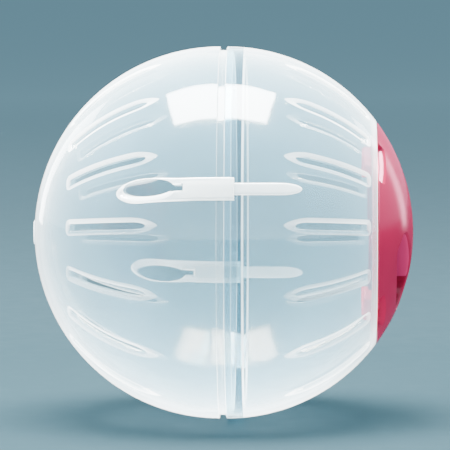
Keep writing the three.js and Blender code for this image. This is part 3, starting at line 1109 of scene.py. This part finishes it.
def build_pieces():
    wall = milky_plastic("milky_wall", 0.18, 0.015, 0.06, 0.2)
    inner = milky_plastic("milky_inner_wall", 0.18, 0.015, 0.14, 0.06, gloss=1.1, shine_tint=WARM)
    # The slots' borders, with painted light that makes the upper border whiter than the lower one.
    edge = milky_plastic("frosted_edge", 0.2, 0.45, 0.16, 0.1, hidden=0.5, border=True)
    # The thin rim, darkened by a painted shade tint.
    rim = milky_plastic("thin_rim", 0.03, 0.002, 0.06, 0.15, tint=RIM_PAINTED_SHADE_TINT)
    lip = milky_plastic("thin_lip", 0.12, 0.02, 0.06, 0.15)
    lap = milky_plastic("lapped_lip", 0.2, 0.06, 0.06, 0.15, hidden=0.5)
    step = milky_plastic("rim_step", 0.2, 0.12, 0.06, 0.15, hidden=2.2)
    raised = {
        "front": milky_plastic("front_latch", 0.2, 0.42, 0.10, 0.15, hidden=0.9),
        # The rear latch takes more frost than the front one, so it shows whiter: painted light, as the two
        # latches are alike.
        "rear": milky_plastic("rear_latch_painted_light", 0.2, 1.0, 0.10, 0.15, hidden=0.9),
    }
    pink = pink_plastic("pink_lid", LID_COLOURS, 0.3)
    thin_pink_with_painted_light = pink_plastic("thin_pink_with_painted_light", LUG_COLOURS_WITH_PAINTED_LIGHT, 0.4)
    left_materials = [wall, edge, inner, lip, lap, step]
    finished(left_half(), "left_shell", "left_half", left_materials, ["left_half_shell"])
    right_materials = [wall, edge, inner, rim, rim, step]
    finished(right_half(), "right_shell", "right_half", right_materials, ["right_half_shell"])
    for side, angle in LATCHES.items():
        hood = latch_hood(side, angle)
        milky = [raised[side], raised[side]]
        finished(hood, f"{side}_hood", "left_half", milky, [f"{side}_latch_hood"])
        tongue = latch_tongue(side, angle)
        finished(tongue, f"{side}_tongue", "right_half", milky, [f"{side}_latch_tongue"])
    # Lit and shaded copies of the lid's pink for the wells: painted light and painted shade.
    well = pink_plastic("pink_well", WELL_PAINTED_LIGHT_COLOURS, 0.3)
    well_painted_shade = pink_plastic("pink_well_painted_shade", WELL_PAINTED_SHADE_COLOURS, 0.3)
    finished(lid_cap(), "lid", "lid", [pink, well, well_painted_shade], ["lid_cap"])
    finished(skirt_ring(), "lid_skirt", "lid_carrier", [thin_pink_with_painted_light], ["lid_skirt_ring"])
    for number, angle in enumerate(LUG_ANGLES, 1):
        lug = lid_lug(number, angle)
        finished(lug, f"lug_{number}", "lid", [thin_pink_with_painted_light], [f"lid_lug_{number}"])


# Floor, light and camera.


def build_floor():
    turns = [2 * math.pi * i / 64 for i in range(64)]
    level = cad_low.z / MM
    points = [(FLOOR_RADIUS * math.cos(t), FLOOR_RADIUS * math.sin(t), level) for t in turns]
    floor = mesh_object("floor", points, [tuple(range(64))])
    floor.data.transform(Matrix.Scale(MM, 4))
    floor.data.materials.append(floor_with_painted_shade())


def softbox(name, place, size, radiance, reflected=True, back=None):
    """A rectangular light, in millimetres, that faces the ball's middle or has its back to a direction."""
    data = bpy.data.lights.new(name, "AREA")
    data.shape = "RECTANGLE"
    data.size = size[0] * MM
    data.size_y = size[1] * MM
    data.energy = radiance * math.pi * data.size * data.size_y
    light = bpy.data.objects.new(name, data)
    light.visible_glossy = reflected
    light.visible_camera = False
    light.location = Vector(place) * MM
    away = Vector(back or place).normalized()
    level = Vector((0, 1, 0)) if abs(away.x) > 0.9 else ALONG
    side = (level - away * level.dot(away)).normalized()
    light.rotation_mode = "QUATERNION"
    light.rotation_quaternion = Matrix((side, away.cross(side), away)).transposed().to_quaternion()
    bpy.context.scene.collection.objects.link(light)


def build_lights():
    softbox("overhead_softbox", (-18, 5, 700), (535, 357), 150)
    softbox("front_fill", (-600, -1350, 400), (1000, 1000), 30, reflected=False)
    softbox("left_fill", (-1500, -400, 400), (1000, 1000), 38, reflected=False)
    softbox("floor_bounce", (-20, 0, -59.9), (150, 150), 17, reflected=False, back=(0, 0, -1))
    softbox("lid_bounce", (280, 0, -59.9), (320, 560), 10, reflected=False, back=(0, 0, -1))
    softbox("left_strip", (-900, 1200, 350), (260, 900), 20)
    softbox("right_strip", (1000, 1150, 350), (220, 900), 14)
    world = bpy.data.worlds.new("studio")
    world.use_nodes = True
    background = world.node_tree.nodes["Background"]
    background.inputs["Color"].default_value = (0.74, 0.92, 1.0, 1)
    background.inputs["Strength"].default_value = 3.0
    bpy.context.scene.world = world


def build_camera():
    azimuth = math.radians(CAMERA_AZIMUTH)
    elevation = math.radians(CAMERA_ELEVATION)
    back = Vector((
        math.sin(azimuth) * math.cos(elevation),
        -math.cos(azimuth) * math.cos(elevation),
        math.sin(elevation),
    ))
    data = bpy.data.cameras.new("camera")
    data.sensor_width = 36
    data.lens = CAMERA_LENS
    data.clip_end = 40
    camera = bpy.data.objects.new("camera", data)
    camera.location = (Vector(CAMERA_TARGET) + back * CAMERA_DISTANCE) * MM
    camera.rotation_mode = "QUATERNION"
    camera.rotation_quaternion = back.to_track_quat("Z", "Y")
    bpy.context.scene.collection.objects.link(camera)
    bpy.context.scene.camera = camera


build_pieces()
build_floor()
build_lights()
build_camera()
